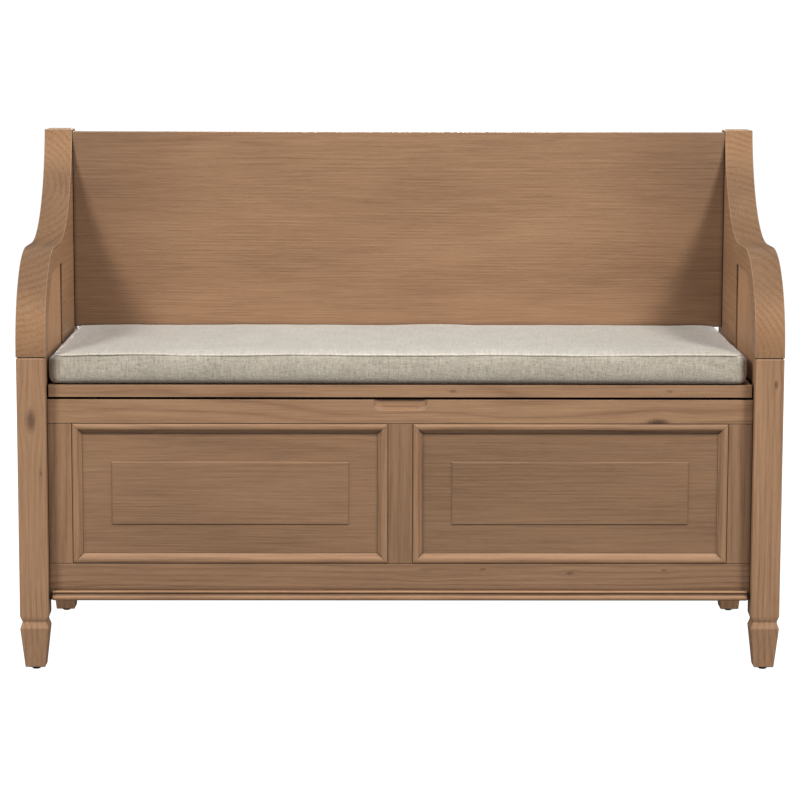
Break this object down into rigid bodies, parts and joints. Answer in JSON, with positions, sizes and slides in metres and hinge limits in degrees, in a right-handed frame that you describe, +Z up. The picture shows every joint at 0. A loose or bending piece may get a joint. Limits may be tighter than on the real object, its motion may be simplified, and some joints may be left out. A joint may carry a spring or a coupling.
{
  "type": "storage bench",
  "caption": "Wooden storage bench with S-curved arms, a panelled chest, a hinged seat lid and a boxed fabric cushion.",
  "frame": {"origin": "centre of the footprint, on the floor", "axes": "+X to the right as seen from the front, -Y to the front, +Z up"},
  "size_m": [1.07, 0.44, 0.745],
  "materials": {
    "wood": "satin lacquered pine with fine grain",
    "panel_wood": "satin lacquered wood panel with fine level grain",
    "fabric": "oatmeal plain weave",
    "steel": "zinc plated",
    "rubber": "matt black"
  },
  "bodies": {
    "frame": {"arm_left": "wood", "arm_panel_left": "wood", "arm_panel_right": "wood", "arm_right": "wood", "base_moulding": "wood", "chest_back_board": "panel_wood", "floor_board": "panel_wood", "floor_cleat_front": "wood", "floor_cleat_rear": "wood", "front_bottom_rail": "wood", "front_centre_stile": "wood", "front_glide_left": "rubber", "front_glide_right": "rubber", "front_leg_left": "wood", "front_leg_right": "wood", "front_panel_left": "panel_wood", "front_panel_right": "panel_wood", "front_stile_left": "wood", "front_stile_right": "wood", "front_top_rail": "wood", "hinge_fixed_leaf_left": "steel", "hinge_fixed_leaf_right": "steel", "hinge_fixed_screw_left_1": "steel", "hinge_fixed_screw_left_2": "steel", "hinge_fixed_screw_right_1": "steel", "hinge_fixed_screw_right_2": "steel", "hinge_pin_left": "steel", "hinge_pin_right": "steel", "lid_bumper_left": "rubber", "lid_bumper_right": "rubber", "panel_moulding_left_bottom": "wood", "panel_moulding_left_left": "wood", "panel_moulding_left_right": "wood", "panel_moulding_left_top": "wood", "panel_moulding_right_bottom": "wood", "panel_moulding_right_left": "wood", "panel_moulding_right_right": "wood", "panel_moulding_right_top": "wood", "rear_bottom_rail": "wood", "rear_glide_left": "rubber", "rear_glide_right": "rubber", "rear_leg_left": "wood", "rear_leg_right": "wood", "rear_seat_strip": "wood", "rear_top_rail": "wood", "seat_back_panel": "panel_wood", "side_bottom_rail_left": "wood", "side_bottom_rail_right": "wood", "side_panel_left": "wood", "side_panel_right": "wood", "side_top_rail_left": "wood", "side_top_rail_right": "wood"},
    "lid": {"hinge_lid_leaf_left": "steel", "hinge_lid_leaf_right": "steel", "hinge_lid_screw_left_1": "steel", "hinge_lid_screw_left_2": "steel", "hinge_lid_screw_right_1": "steel", "hinge_lid_screw_right_2": "steel", "seat_lid": "wood"},
    "cushion": {"cushion": "fabric"}
  },
  "joints": [
    {"name": "lid_hinge", "type": "hinge", "parent": "frame", "child": "lid", "pos_m": [0, 0.126, 0.4015], "axis": [-1, 0, 0], "range_deg": [0, 75]},
    {"name": "cushion_hinge", "type": "hinge", "parent": "frame", "child": "cushion", "pos_m": [0, 0.1655, 0.4505], "axis": [-1, 0, 0], "range_deg": [0, 75]}
  ],
  "couplings": [
    {"joint": "cushion_hinge", "follows": "lid_hinge", "ratio": 1}
  ]
}
